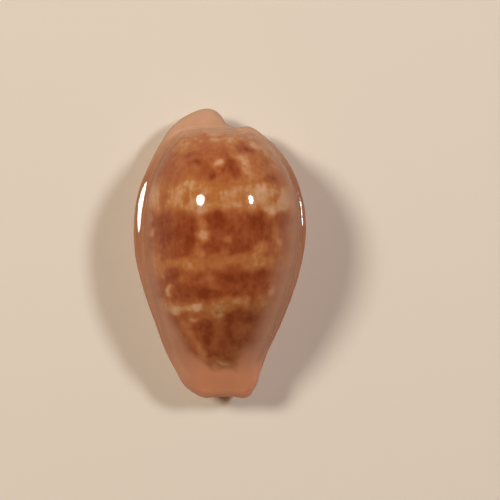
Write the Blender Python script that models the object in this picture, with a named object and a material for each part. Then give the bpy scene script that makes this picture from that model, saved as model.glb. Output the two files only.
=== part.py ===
"""Pear-shaped cowrie shell, one natural solid.

Frame: metres, +Z up. The shell rests on its base on z = 0, its length lies along Y with the broad
posterior end at +Y, and the outer (labral) lip is on the -X side. The origin is the middle of the
shell's box, on the resting plane. All lengths in the constants are millimetres.

The shell is a closed wall around a hollow body whorl. The only way in is the long toothed aperture
in the base, which runs out through a canal at each end.
"""

import math

import bmesh
import bpy
import numpy as np

# ---------------------------------------------------------------- driving dimensions (mm)
MM = 0.001
# The shell's outline seen from above: (x, y), anticlockwise from the tip of the labral lobe.
OUTLINE = [
    (-1.50, 18.00), (-3.38, 17.55), (-5.35, 16.38), (-6.88, 14.60), (-8.18, 12.30), (-9.45, 9.60),
    (-10.38, 6.60), (-10.70, 3.20), (-10.52, -0.30), (-9.76, -3.40), (-8.75, -6.50), (-7.60, -9.60),
    (-6.47, -12.65), (-5.15, -15.05), (-3.88, -16.75), (-2.88, -17.55), (-1.85, -17.95),
    (-0.75, -17.82), (0.60, -17.70), (1.90, -17.80), (2.95, -17.99), (3.74, -17.62),
    (4.12, -16.55), (4.85, -14.90), (5.82, -12.40), (7.20, -9.50), (8.52, -6.45), (9.62, -3.20),
    (10.43, 0.30), (10.68, 3.70), (10.20, 7.00), (9.15, 10.05), (7.50, 12.65), (5.62, 14.50),
    (4.38, 15.40), (3.44, 15.80), (2.34, 15.68), (1.48, 15.70), (0.90, 16.02), (0.27, 16.90),
    (-0.50, 17.68),
]
# The domed body whorl, an ellipsoid whose radii change along Y.
DOME_TOP_Y = 4.9  # where it is highest
DOME_POST, DOME_ANT = 10.5, 22.2  # its half lengths, behind and ahead of that point
DOME_END = 2.3  # how blunt its ends are: 2 is an ellipsoid
DOME_ROUND = 2.2  # how full its cross-section is: 2 is an ellipse
DOME_Z = 6.0  # height of its middle
DOME_LOW = 4.4  # how far it reaches below its middle, inside the callus
DOME_LEAN = 0.6  # how far its crest leans towards +X
DOME_MID_X = [(-17, 0.3), (-15, -0.13), (-12, -0.42), (-9, -0.22), (-6, -0.12), (-3, 0.03), (0, 0.2), (4, 0.24), (8, 0.21), (11, 0.1), (13, -0.05), (14.5, -0.6), (15.3, -1.3)]
DOME_HALF = [(-16.8, 3.3), (-15, 4.5), (-12, 5.8), (-9, 7.05), (-6, 8.08), (-3, 8.95), (0, 9.45), (3.5, 9.64), (6.5, 9.4), (10, 8.24), (12, 7.13), (13.4, 6.1), (14.5, 4.7), (15.15, 2.9)]
DOME_TOP_Z = [(-16.8, 7.3), (-15, 9.2), (-12, 11.6), (-9, 13.4), (-6, 14.95), (-3, 16.2), (0, 17.1), (4.9, 17.6), (10, 16.58), (13, 14.14), (14.5, 11.53), (15.15, 9.22)]
# The callus: the thick base with its rim, which carries the outline. The rim stands apart from the
# dome as a shelf at the posterior end and along the anterior part of the +X side, and runs smoothly
# into it elsewhere.
RIM_Z = [(-18, 5.2), (-12, 5.0), (-6, 5.2), (0, 5.42), (4, 5.28), (7, 5.1), (10, 4.88), (15, 4.3), (18, 4.0)]
RIM_UP_L = [(-18, 1.5), (-15, 1.9), (-12, 1.9), (-8, 1.8), (-3, 1.2), (1, 0.7), (3.8, 0.5), (8.6, 0.5), (10.2, 0.75), (12.2, 1.3), (14.5, 1.9), (18, 1.8)]
RIM_UP_R = [(-18, 1.5), (-15, 1.8), (-12, 1.5), (-9, 1.1), (-5, 0.8), (0.5, 0.52), (3.6, 0.4), (8.4, 0.38), (11, 0.9), (14, 1.8), (18, 1.8)]
RIM_ROUND_L = [(-18, 1.6), (-12, 1.6), (-4, 1.5), (2, 1.3), (8, 1.35), (12, 1.7), (15, 1.9), (18, 2.0)]
RIM_ROUND_R = [(-18, 1.6), (-12, 1.3), (-8, 1.0), (-4, 1.0), (1, 1.0), (6, 1.0), (10, 1.1), (15, 1.6), (18, 1.8)]
RIM_BLEND_L = [(-18, 1.8), (-13, 1.8), (-8, 2.1), (-2, 2.0), (2, 1.1), (5, 0.8), (8, 0.8), (10, 1.1), (13, 0.9), (15, 0.5), (18, 0.5)]
RIM_BLEND_R = [(-18, 1.8), (-13, 1.8), (-9, 1.5), (-4, 1.3), (0, 0.9), (3, 0.5), (6, 0.45), (9, 0.45), (13, 0.7), (18, 0.5)]
BASE_Z = [(-18, 1.4), (-15, 1.0), (-12, 0.54), (-8, 0.05), (-4, -0.14), (0, -0.18), (4, -0.14), (8, 0.03), (12, 0.55), (15, 1.25), (18, 2.0)]
BASE_ROUND = [(-18, 2.3), (-14, 4.4), (-9, 6.2), (-4, 6.4), (4, 6.4), (9, 6.3), (14, 4.6), (18, 3.2)]  # how far in from the outline the base curves down
LIP_RAISE = 0.75  # how much the base rises again towards the aperture
# The aperture, a slot through the base from one canal to the other.
GAP_X = [(-17.8, 0.60), (-15, 0.42), (-12, 0.05), (-8, -0.4), (-4, -0.65), (0, -0.65), (4, -0.45), (8, 0.0), (12, 0.75), (15.8, 1.75)]
GAP_WIDE = [(-17.8, 2.3), (-15, 2.6), (-12, 2.85), (-8, 2.6), (-4, 2.25), (0, 2.05), (4, 1.95), (8, 1.85), (12, 1.75), (15.8, 1.8)]
CANAL_ROOF = [(-18, 3.8), (-15.5, 4.3), (-13, 5.6), (-9, 7.0), (9, 7.0), (12, 5.4), (14, 4.2), (16, 3.6)]
LIP_FILLET = 0.95
# Walls
WALL_TOP, WALL_SIDE, WALL_ENDS = 1.2, 1.5, 0.8
# Teeth: first and last along Y, how many, height, reach onto the base
LABRAL_TEETH = dict(y0=13.9, y1=-15.3, count=21, high=0.42, reach=2.1)
COLUMELLAR_TEETH = dict(y0=13.4, y1=-14.9, count=18, high=0.36, reach=1.5)


def curve_of(points):
    """A smooth curve through (at, value) points, level beyond its ends."""
    at, value = (np.array(v, float) for v in zip(*sorted(points)))
    n, h = len(at), np.diff(at)
    a, r = np.eye(n), np.zeros(n)
    for i in range(1, n - 1):
        a[i, i - 1 : i + 2] = h[i - 1], 2 * (h[i - 1] + h[i]), h[i]
        r[i] = 6 * ((value[i + 1] - value[i]) / h[i] - (value[i] - value[i - 1]) / h[i - 1])
    m = np.linalg.solve(a, r)

    def read(q):
        q = np.clip(q, at[0], at[-1])
        i = np.clip(np.searchsorted(at, q) - 1, 0, n - 2)
        left, right, step = at[i + 1] - q, q - at[i], h[i]
        return (
            (m[i] * left**3 + m[i + 1] * right**3) / (6 * step)
            + (value[i] / step - m[i] * step / 6) * left
            + (value[i + 1] / step - m[i + 1] * step / 6) * right
        )

    return read


def closed_curve(points, count):
    """count points on the smooth closed curve through points."""
    p = np.array(points, float)
    h = np.linalg.norm(np.roll(p, -1, 0) - p, axis=1)
    n = len(p)
    a, r = np.zeros((n, n)), np.zeros((n, 2))
    for i in range(n):
        before, after = h[i - 1], h[i]
        a[i, i - 1] += before
        a[i, i] += 2 * (before + after)
        a[i, (i + 1) % n] += after
        r[i] = 6 * ((p[(i + 1) % n] - p[i]) / after - (p[i] - p[i - 1]) / before)
    m = np.linalg.solve(a, r)
    knots = np.concatenate([[0], np.cumsum(h)])
    t = np.linspace(0, knots[-1], count, endpoint=False)
    i = np.clip(np.searchsorted(knots, t, side="right") - 1, 0, n - 1)
    j = (i + 1) % n
    left, right, step = (knots[i + 1] - t)[:, None], (t - knots[i])[:, None], h[i][:, None]
    return (
        (m[i] * left**3 + m[j] * right**3) / (6 * step)
        + (p[i] / step - m[i] * step / 6) * left
        + (p[j] / step - m[j] * step / 6) * right
    )


RIM = closed_curve(OUTLINE, 1440)
rim_z, base_z, base_round = curve_of(RIM_Z), curve_of(BASE_Z), curve_of(BASE_ROUND)
gap_x, gap_w, roof_z = curve_of(GAP_X), curve_of(GAP_WIDE), curve_of(CANAL_ROOF)

# ---------------------------------------------------------------- distance in from the outline
GRID, LOW_X, LOW_Y = 0.2, -13.0, -20.6


def outline_grid():
    nx, ny = int(26 / GRID) + 1, int(41.2 / GRID) + 1
    x, y = np.meshgrid(LOW_X + GRID * np.arange(nx), LOW_Y + GRID * np.arange(ny), indexing="ij")
    q = np.stack([x.ravel(), y.ravel()], 1)
    a, b = RIM, np.roll(RIM, -1, 0)
    ab = b - a
    best, inside = np.full(len(q), 1e9), np.zeros(len(q), bool)
    for k in range(len(a)):
        ap = q - a[k]
        t = np.clip((ap @ ab[k]) / (ab[k] @ ab[k]), 0, 1)
        best = np.minimum(best, np.hypot(ap[:, 0] - t * ab[k, 0], ap[:, 1] - t * ab[k, 1]))
        if a[k, 1] != b[k, 1]:
            spans = (a[k, 1] > q[:, 1]) != (b[k, 1] > q[:, 1])
            inside ^= spans & (q[:, 0] < a[k, 0] + (q[:, 1] - a[k, 1]) * ab[k, 0] / ab[k, 1])
    return np.where(inside, best, -best).reshape(nx, ny)


DEPTH = outline_grid()


def depth_at(x, y):
    """How far (x, y) lies inside the outline, by cubic interpolation of the grid."""
    fx = np.clip((x - LOW_X) / GRID, 1.001, DEPTH.shape[0] - 3.001)
    fy = np.clip((y - LOW_Y) / GRID, 1.001, DEPTH.shape[1] - 3.001)
    ix, iy = fx.astype(int), fy.astype(int)
    tx, ty = fx - ix, fy - iy

    def weights(t):
        return (
            ((-0.5 * t + 1.0) * t - 0.5) * t,
            (1.5 * t - 2.5) * t * t + 1.0,
            ((-1.5 * t + 2.0) * t + 0.5) * t,
            (0.5 * t - 0.5) * t * t,
        )

    wx, wy, total = weights(tx), weights(ty), 0.0
    for i in range(4):
        for j in range(4):
            total = total + wx[i] * wy[j] * DEPTH[ix + i - 1, iy + j - 1]
    return total


# ---------------------------------------------------------------- the shell as a field, negative in its material
def by_side(left, right):
    """A curve along Y for each side of the shell, blended across the middle."""
    left, right = curve_of(left), curve_of(right)

    def read(x, y):
        a, b = left(y), right(y)
        return a + (b - a) * ramp(-3, 3, x)

    return read


rim_up, rim_round, rim_blend = by_side(RIM_UP_L, RIM_UP_R), by_side(RIM_ROUND_L, RIM_ROUND_R), by_side(RIM_BLEND_L, RIM_BLEND_R)


def ramp(a, b, v):
    t = np.clip((v - a) / (b - a), 0, 1)
    return t * t * (3 - 2 * t)


def join(a, b, k):
    h = np.maximum(k - np.abs(a - b), 0) / k
    return np.minimum(a, b) - h**3 * k / 6


def cut(a, b, k):
    return -join(-a, b, k)


def dome_half_length(y):
    return DOME_ANT + (DOME_POST - DOME_ANT) * ramp(-2.5, 2.5, y - DOME_TOP_Y)


def untapered(points, base=0.0):
    """The radius that, with the dome's taper towards its ends, passes through the given points."""
    y, r = (np.array(v, float) for v in zip(*points))
    v = np.abs(y - DOME_TOP_Y) / dome_half_length(y)
    return curve_of(list(zip(y, (r - base) / (1 - v**DOME_END) ** (1 / DOME_END))))


dome_x, dome_a, dome_b = curve_of(DOME_MID_X), untapered(DOME_HALF), untapered(DOME_TOP_Z, DOME_Z)


def dome_field(x, y, z):
    half, p, q = dome_half_length(y), DOME_END, DOME_ROUND
    up = z > DOME_Z
    a, b = dome_a(y), np.where(up, dome_b(y), DOME_LOW)
    lean = DOME_LEAN * np.where(up, (z - DOME_Z) / b, 0)
    u, v, w = np.abs(x - dome_x(y) - lean) / a, np.abs(y - DOME_TOP_Y) / half, np.abs(z - DOME_Z) / b
    r = (u**q + w**q) ** (1 / q) + 1e-6
    n = (r**p + v**p) ** (1 / p)
    along_r, along_v = (r / n) ** (p - 1), (v / n) ** (p - 1)
    slope = np.sqrt((along_r * (u / r) ** (q - 1) / a) ** 2 + (along_r * (w / r) ** (q - 1) / b) ** 2 + (along_v / half) ** 2) + 1e-9
    return (n - 1) / slope


def base_height(x, y):
    return base_z(y) + LIP_RAISE * np.exp(-(((x - gap_x(y)) / 2.7) ** 2))


def rim_field(x, y, z):
    d, zm = depth_at(x, y), rim_z(y)
    up = z > zm
    wide = np.where(up, rim_round(x, y), base_round(y))
    high = np.where(up, rim_up(x, y), zm - base_height(x, y))
    power = np.where(up, 2.0, 2.1)
    u, v = np.maximum(1 - d / wide, 0), np.abs(z - zm) / high
    n = (u**power + v**power) ** (1 / power) + 1e-9
    slope = np.sqrt((u ** (power - 1) / wide) ** 2 + (v ** (power - 1) / high) ** 2) * n ** (1 - power) + 1e-9
    return (n - 1) / slope


def outer_field(x, y, z):
    return join(dome_field(x, y, z), rim_field(x, y, z), rim_blend(x, y))


def rolled_lips(x, y, z):
    """The rounded inner edges of the two lips: the columella on +X, the labrum on -X."""
    shrink = 0.5 * ramp(6, 12, np.abs(y + 1))
    inner = np.hypot(x - gap_x(y) - gap_w(y) / 2 - 2.05, (z - 3.9) * 0.8) - 2.1 + shrink
    outer = np.hypot(x - gap_x(y) + gap_w(y) / 2 + 1.75, z - 3.0) - 1.8 + 0.6 * shrink
    return np.minimum(inner, outer)


def void_field(x, y, z):
    wall = WALL_TOP + (WALL_SIDE - WALL_TOP) * ramp(11, 5, z) + WALL_ENDS * ramp(9, 15, np.abs(y + 1))
    hollow = dome_field(x, y, z) + wall
    hollow = cut(hollow, rolled_lips(x, y, z), 0.8)
    slot = cut(np.abs(x - gap_x(y)) - gap_w(y) / 2, -(z - roof_z(y)), 1.2)
    return join(hollow, slot, 1.7)


def teeth_height(x, y, z):
    side = x - gap_x(y)
    out = np.abs(side) - gap_w(y) / 2
    base = base_height(x, y)
    total = 0.0
    for sign, t in ((-1, LABRAL_TEETH), (1, COLUMELLAR_TEETH)):
        phase = (t["y0"] - y) / (t["y0"] - t["y1"]) * (t["count"] - 1)
        ridge = (0.5 + 0.5 * np.cos(2 * math.pi * phase)) ** 1.3 - 0.3
        along = ramp(-0.6, -0.1, phase) * ramp(t["count"] - 0.4, t["count"] - 0.9, phase)
        across = ramp(t["reach"], 0.35, out) * ramp(base + 3.1, base + 1.7, z)
        total = total + t["high"] * ridge * along * across * (np.sign(side) == sign)
    return total


def shell_field(x, y, z):
    return cut(outer_field(x, y, z), void_field(x, y, z), LIP_FILLET) - teeth_height(x, y, z)


def settle(p, field, rounds=7, most=0.6):
    """Moves points along the field's slope until they lie on its surface."""
    e = 1e-3
    for _ in range(rounds):
        x, y, z = p.T
        f = field(x, y, z)
        g = np.stack(
            [
                field(x + e, y, z) - field(x - e, y, z),
                field(x, y + e, z) - field(x, y - e, z),
                field(x, y, z + e) - field(x, y, z - e),
            ],
            1,
        ) / (2 * e)
        step = f[:, None] * g / np.maximum((g * g).sum(1), 0.05)[:, None]
        size = np.linalg.norm(step, axis=1, keepdims=True)
        p = p - step * np.minimum(1, most / np.maximum(size, 1e-9))
    return p


def surface_net(field, cell, low, high):
    """Quads around the field's zero surface, one vertex in each grid cell it passes through."""
    axes = [np.arange(a, b + cell, cell) for a, b in zip(low, high)]
    shape = tuple(len(a) for a in axes)
    grid = np.meshgrid(*axes, indexing="ij")
    f = field(*(g.ravel() for g in grid)).reshape(shape)
    cells = tuple(n - 1 for n in shape)
    total, hits = np.zeros(cells + (3,)), np.zeros(cells)
    crossings = []
    for a in range(3):
        b, c = (a + 1) % 3, (a + 2) % 3
        lo = tuple(slice(None, -1) if i == a else slice(None) for i in range(3))
        hi = tuple(slice(1, None) if i == a else slice(None) for i in range(3))
        f0, f1 = f[lo], f[hi]
        ix = np.argwhere((f0 < 0) != (f1 < 0))
        v0, v1 = f0[tuple(ix.T)], f1[tuple(ix.T)]
        where = ix.astype(float)
        where[:, a] += v0 / (v0 - v1)
        for db in (0, 1):
            for dc in (0, 1):
                home = ix.copy()
                home[:, b] -= db
                home[:, c] -= dc
                np.add.at(total, tuple(home.T), where)
                np.add.at(hits, tuple(home.T), 1)
        crossings.append((ix, v0 < 0, b, c))
    number = np.full(cells, -1)
    used = hits > 0
    number[used] = np.arange(used.sum())
    verts = np.array(low) + cell * total[used] / hits[used][:, None]
    quads = []
    for ix, outward, b, c in crossings:
        ring = []
        for db, dc in ((1, 1), (0, 1), (0, 0), (1, 0)):
            home = ix.copy()
            home[:, b] -= db
            home[:, c] -= dc
            ring.append(number[tuple(home.T)])
        q = np.stack(ring, 1)
        q[~outward] = q[~outward][:, ::-1]
        quads.append(q)
    return verts, np.concatenate(quads)


def even_out(verts, faces, field, rounds):
    """Spreads the vertices evenly over the surface."""
    k = faces.shape[1]
    a = np.concatenate([faces[:, i] for i in range(k)])
    b = np.concatenate([faces[:, (i + 1) % k] for i in range(k)])
    count = np.bincount(a, minlength=len(verts))[:, None]
    for _ in range(rounds):
        mean = np.stack([np.bincount(a, verts[b, i], len(verts)) for i in range(3)], 1) / count
        verts = settle(verts + 0.7 * (mean - verts), field, 2, 0.3)
    return settle(verts, field, 4, 0.3)


def mesh_of(name, verts, faces):
    mesh = bpy.data.meshes.new(name)
    mesh.from_pydata((verts * MM).tolist(), [], faces.tolist())
    mesh.update()
    return mesh


# ---------------------------------------------------------------- build
for old in list(bpy.data.objects):
    bpy.data.objects.remove(old, do_unlink=True)

CELL = 0.43
TRIANGLES = 10800

points, quads = surface_net(shell_field, CELL, (-11.6, -19.1, -0.9), (11.6, 19.1, 18.6))
points = even_out(points, quads, shell_field, 5)

shell = bpy.data.objects.new("cowrie_shell", mesh_of("cowrie_shell", points, quads))
bpy.context.scene.collection.objects.link(shell)
thin = shell.modifiers.new("fewer_faces", "DECIMATE")
thin.ratio = TRIANGLES / (2 * len(quads))
thin.use_collapse_triangulate = True
bpy.context.view_layer.update()
reduced = bpy.data.meshes.new_from_object(shell.evaluated_get(bpy.context.evaluated_depsgraph_get()))
shell.modifiers.clear()
shell.data = reduced
reduced.name = "cowrie_shell"

# Every vertex back onto the surface, and the base ground flat where it touches the ground.
points = np.array([v.co for v in reduced.vertices]) / MM
points = settle(points, shell_field, 5, 0.2)
points[:, 2] = np.maximum(points[:, 2], 0.0)
for v, p in zip(reduced.vertices, points):
    v.co = p * MM

bm = bmesh.new()
bm.from_mesh(reduced)
bmesh.ops.recalc_face_normals(bm, faces=bm.faces)
for face in bm.faces:
    face.smooth = True
bm.to_mesh(reduced)
bm.free()

nacre = bpy.data.materials.new("polished_shell")
nacre.use_nodes = True
tone = nacre.node_tree.nodes["Principled BSDF"]
tone.inputs["Base Color"].default_value = (0.42, 0.22, 0.11, 1.0)
tone.inputs["Roughness"].default_value = 0.2
reduced.materials.clear()
reduced.materials.append(nacre)
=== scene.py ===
"""Studio picture of the pear-shaped cowrie shell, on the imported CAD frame."""

import math

import bpy
import numpy as np
from mathutils import Matrix, Vector


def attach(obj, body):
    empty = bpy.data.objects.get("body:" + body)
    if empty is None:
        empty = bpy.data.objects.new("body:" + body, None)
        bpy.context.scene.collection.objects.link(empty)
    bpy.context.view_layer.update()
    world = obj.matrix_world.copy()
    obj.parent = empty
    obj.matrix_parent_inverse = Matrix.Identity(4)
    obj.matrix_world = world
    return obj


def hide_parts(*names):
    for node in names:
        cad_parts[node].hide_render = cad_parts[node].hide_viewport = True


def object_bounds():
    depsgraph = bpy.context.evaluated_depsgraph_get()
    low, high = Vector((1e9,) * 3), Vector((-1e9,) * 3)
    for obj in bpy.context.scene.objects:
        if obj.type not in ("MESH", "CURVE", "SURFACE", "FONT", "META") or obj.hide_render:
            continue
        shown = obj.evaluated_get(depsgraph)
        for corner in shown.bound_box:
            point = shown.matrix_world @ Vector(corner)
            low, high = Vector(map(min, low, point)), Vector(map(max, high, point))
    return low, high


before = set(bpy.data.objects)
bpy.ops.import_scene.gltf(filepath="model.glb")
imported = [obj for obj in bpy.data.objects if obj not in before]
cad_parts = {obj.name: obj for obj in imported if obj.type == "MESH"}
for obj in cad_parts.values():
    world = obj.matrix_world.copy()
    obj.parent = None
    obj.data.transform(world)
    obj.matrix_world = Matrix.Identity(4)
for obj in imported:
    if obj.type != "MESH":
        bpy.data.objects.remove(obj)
CAD_BOX = [list(map(float, corner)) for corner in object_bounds()]

# ---------------------------------------------------------------- driving dimensions (mm)
MM = 0.001
# The shell's outline seen from above: (x, y), anticlockwise from the tip of the labral lobe.
OUTLINE = [
    (-1.50, 18.00), (-3.38, 17.55), (-5.35, 16.38), (-6.88, 14.60), (-8.18, 12.30), (-9.45, 9.60),
    (-10.38, 6.60), (-10.70, 3.20), (-10.52, -0.30), (-9.76, -3.40), (-8.75, -6.50), (-7.60, -9.60),
    (-6.47, -12.65), (-5.15, -15.05), (-3.88, -16.75), (-2.88, -17.55), (-1.85, -17.95),
    (-0.75, -17.82), (0.60, -17.70), (1.90, -17.80), (2.95, -17.99), (3.74, -17.62),
    (4.12, -16.55), (4.85, -14.90), (5.82, -12.40), (7.20, -9.50), (8.52, -6.45), (9.62, -3.20),
    (10.43, 0.30), (10.68, 3.70), (10.20, 7.00), (9.15, 10.05), (7.50, 12.65), (5.62, 14.50),
    (4.38, 15.40), (3.44, 15.80), (2.34, 15.68), (1.48, 15.70), (0.90, 16.02), (0.27, 16.90),
    (-0.50, 17.68),
]
# The domed body whorl, an ellipsoid whose radii change along Y.
DOME_TOP_Y = 4.9  # where it is highest
DOME_POST, DOME_ANT = 10.5, 22.2  # its half lengths, behind and ahead of that point
DOME_END = 2.3  # how blunt its ends are: 2 is an ellipsoid
DOME_ROUND = 2.2  # how full its cross-section is: 2 is an ellipse
DOME_Z = 6.0  # height of its middle
DOME_LOW = 4.4  # how far it reaches below its middle, inside the callus
DOME_LEAN = 0.6  # how far its crest leans towards +X
DOME_MID_X = [(-17, 0.3), (-15, -0.13), (-12, -0.42), (-9, -0.22), (-6, -0.12), (-3, 0.03), (0, 0.2), (4, 0.24), (8, 0.21), (11, 0.1), (13, -0.05), (14.5, -0.6), (15.3, -1.3)]
DOME_HALF = [(-16.8, 3.3), (-15, 4.5), (-12, 5.8), (-9, 7.05), (-6, 8.08), (-3, 8.95), (0, 9.45), (3.5, 9.64), (6.5, 9.4), (10, 8.24), (12, 7.13), (13.4, 6.1), (14.5, 4.7), (15.15, 2.9)]
DOME_TOP_Z = [(-16.8, 7.3), (-15, 9.2), (-12, 11.6), (-9, 13.4), (-6, 14.95), (-3, 16.2), (0, 17.1), (4.9, 17.6), (10, 16.58), (13, 14.14), (14.5, 11.53), (15.15, 9.22)]
# The callus: the thick base with its rim, which carries the outline. The rim stands apart from the
# dome as a shelf at the posterior end and along the anterior part of the +X side, and runs smoothly
# into it elsewhere.
RIM_Z = [(-18, 5.2), (-12, 5.0), (-6, 5.2), (0, 5.42), (4, 5.28), (7, 5.1), (10, 4.88), (15, 4.3), (18, 4.0)]
RIM_UP_L = [(-18, 1.5), (-15, 1.9), (-12, 1.9), (-8, 1.8), (-3, 1.2), (1, 0.7), (3.8, 0.5), (8.6, 0.5), (10.2, 0.75), (12.2, 1.3), (14.5, 1.9), (18, 1.8)]
RIM_UP_R = [(-18, 1.5), (-15, 1.8), (-12, 1.5), (-9, 1.1), (-5, 0.8), (0.5, 0.52), (3.6, 0.4), (8.4, 0.38), (11, 0.9), (14, 1.8), (18, 1.8)]
RIM_ROUND_L = [(-18, 1.6), (-12, 1.6), (-4, 1.5), (2, 1.3), (8, 1.35), (12, 1.7), (15, 1.9), (18, 2.0)]
RIM_ROUND_R = [(-18, 1.6), (-12, 1.3), (-8, 1.0), (-4, 1.0), (1, 1.0), (6, 1.0), (10, 1.1), (15, 1.6), (18, 1.8)]
RIM_BLEND_L = [(-18, 1.8), (-13, 1.8), (-8, 2.1), (-2, 2.0), (2, 1.1), (5, 0.8), (8, 0.8), (10, 1.1), (13, 0.9), (15, 0.5), (18, 0.5)]
RIM_BLEND_R = [(-18, 1.8), (-13, 1.8), (-9, 1.5), (-4, 1.3), (0, 0.9), (3, 0.5), (6, 0.45), (9, 0.45), (13, 0.7), (18, 0.5)]
BASE_Z = [(-18, 1.4), (-15, 1.0), (-12, 0.54), (-8, 0.05), (-4, -0.14), (0, -0.18), (4, -0.14), (8, 0.03), (12, 0.55), (15, 1.25), (18, 2.0)]
BASE_ROUND = [(-18, 2.3), (-14, 4.4), (-9, 6.2), (-4, 6.4), (4, 6.4), (9, 6.3), (14, 4.6), (18, 3.2)]  # how far in from the outline the base curves down
LIP_RAISE = 0.75  # how much the base rises again towards the aperture
# The aperture, a slot through the base from one canal to the other.
GAP_X = [(-17.8, 0.60), (-15, 0.42), (-12, 0.05), (-8, -0.4), (-4, -0.65), (0, -0.65), (4, -0.45), (8, 0.0), (12, 0.75), (15.8, 1.75)]
GAP_WIDE = [(-17.8, 2.3), (-15, 2.6), (-12, 2.85), (-8, 2.6), (-4, 2.25), (0, 2.05), (4, 1.95), (8, 1.85), (12, 1.75), (15.8, 1.8)]
CANAL_ROOF = [(-18, 3.8), (-15.5, 4.3), (-13, 5.6), (-9, 7.0), (9, 7.0), (12, 5.4), (14, 4.2), (16, 3.6)]
LIP_FILLET = 0.95
# Walls
WALL_TOP, WALL_SIDE, WALL_ENDS = 1.2, 1.5, 0.8
# Teeth: first and last along Y, how many, height, reach onto the base
LABRAL_TEETH = dict(y0=13.9, y1=-15.3, count=21, high=0.42, reach=2.1)
COLUMELLAR_TEETH = dict(y0=13.4, y1=-14.9, count=18, high=0.36, reach=1.5)


def curve_of(points):
    """A smooth curve through (at, value) points, level beyond its ends."""
    at, value = (np.array(v, float) for v in zip(*sorted(points)))
    n, h = len(at), np.diff(at)
    a, r = np.eye(n), np.zeros(n)
    for i in range(1, n - 1):
        a[i, i - 1 : i + 2] = h[i - 1], 2 * (h[i - 1] + h[i]), h[i]
        r[i] = 6 * ((value[i + 1] - value[i]) / h[i] - (value[i] - value[i - 1]) / h[i - 1])
    m = np.linalg.solve(a, r)

    def read(q):
        q = np.clip(q, at[0], at[-1])
        i = np.clip(np.searchsorted(at, q) - 1, 0, n - 2)
        left, right, step = at[i + 1] - q, q - at[i], h[i]
        return (
            (m[i] * left**3 + m[i + 1] * right**3) / (6 * step)
            + (value[i] / step - m[i] * step / 6) * left
            + (value[i + 1] / step - m[i + 1] * step / 6) * right
        )

    return read


def closed_curve(points, count):
    """count points on the smooth closed curve through points."""
    p = np.array(points, float)
    h = np.linalg.norm(np.roll(p, -1, 0) - p, axis=1)
    n = len(p)
    a, r = np.zeros((n, n)), np.zeros((n, 2))
    for i in range(n):
        before, after = h[i - 1], h[i]
        a[i, i - 1] += before
        a[i, i] += 2 * (before + after)
        a[i, (i + 1) % n] += after
        r[i] = 6 * ((p[(i + 1) % n] - p[i]) / after - (p[i] - p[i - 1]) / before)
    m = np.linalg.solve(a, r)
    knots = np.concatenate([[0], np.cumsum(h)])
    t = np.linspace(0, knots[-1], count, endpoint=False)
    i = np.clip(np.searchsorted(knots, t, side="right") - 1, 0, n - 1)
    j = (i + 1) % n
    left, right, step = (knots[i + 1] - t)[:, None], (t - knots[i])[:, None], h[i][:, None]
    return (
        (m[i] * left**3 + m[j] * right**3) / (6 * step)
        + (p[i] / step - m[i] * step / 6) * left
        + (p[j] / step - m[j] * step / 6) * right
    )


RIM = closed_curve(OUTLINE, 1440)
rim_z, base_z, base_round = curve_of(RIM_Z), curve_of(BASE_Z), curve_of(BASE_ROUND)
gap_x, gap_w, roof_z = curve_of(GAP_X), curve_of(GAP_WIDE), curve_of(CANAL_ROOF)

# ---------------------------------------------------------------- distance in from the outline
GRID, LOW_X, LOW_Y = 0.2, -13.0, -20.6


def outline_grid():
    nx, ny = int(26 / GRID) + 1, int(41.2 / GRID) + 1
    x, y = np.meshgrid(LOW_X + GRID * np.arange(nx), LOW_Y + GRID * np.arange(ny), indexing="ij")
    q = np.stack([x.ravel(), y.ravel()], 1)
    a, b = RIM, np.roll(RIM, -1, 0)
    ab = b - a
    best, inside = np.full(len(q), 1e9), np.zeros(len(q), bool)
    for k in range(len(a)):
        ap = q - a[k]
        t = np.clip((ap @ ab[k]) / (ab[k] @ ab[k]), 0, 1)
        best = np.minimum(best, np.hypot(ap[:, 0] - t * ab[k, 0], ap[:, 1] - t * ab[k, 1]))
        if a[k, 1] != b[k, 1]:
            spans = (a[k, 1] > q[:, 1]) != (b[k, 1] > q[:, 1])
            inside ^= spans & (q[:, 0] < a[k, 0] + (q[:, 1] - a[k, 1]) * ab[k, 0] / ab[k, 1])
    return np.where(inside, best, -best).reshape(nx, ny)


DEPTH = outline_grid()


def depth_at(x, y):
    """How far (x, y) lies inside the outline, by cubic interpolation of the grid."""
    fx = np.clip((x - LOW_X) / GRID, 1.001, DEPTH.shape[0] - 3.001)
    fy = np.clip((y - LOW_Y) / GRID, 1.001, DEPTH.shape[1] - 3.001)
    ix, iy = fx.astype(int), fy.astype(int)
    tx, ty = fx - ix, fy - iy

    def weights(t):
        return (
            ((-0.5 * t + 1.0) * t - 0.5) * t,
            (1.5 * t - 2.5) * t * t + 1.0,
            ((-1.5 * t + 2.0) * t + 0.5) * t,
            (0.5 * t - 0.5) * t * t,
        )

    wx, wy, total = weights(tx), weights(ty), 0.0
    for i in range(4):
        for j in range(4):
            total = total + wx[i] * wy[j] * DEPTH[ix + i - 1, iy + j - 1]
    return total


# ---------------------------------------------------------------- the shell as a field, negative in its material
def by_side(left, right):
    """A curve along Y for each side of the shell, blended across the middle."""
    left, right = curve_of(left), curve_of(right)

    def read(x, y):
        a, b = left(y), right(y)
        return a + (b - a) * ramp(-3, 3, x)

    return read


rim_up, rim_round, rim_blend = by_side(RIM_UP_L, RIM_UP_R), by_side(RIM_ROUND_L, RIM_ROUND_R), by_side(RIM_BLEND_L, RIM_BLEND_R)


def ramp(a, b, v):
    t = np.clip((v - a) / (b - a), 0, 1)
    return t * t * (3 - 2 * t)


def join(a, b, k):
    h = np.maximum(k - np.abs(a - b), 0) / k
    return np.minimum(a, b) - h**3 * k / 6


def cut(a, b, k):
    return -join(-a, b, k)


def dome_half_length(y):
    return DOME_ANT + (DOME_POST - DOME_ANT) * ramp(-2.5, 2.5, y - DOME_TOP_Y)


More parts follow.
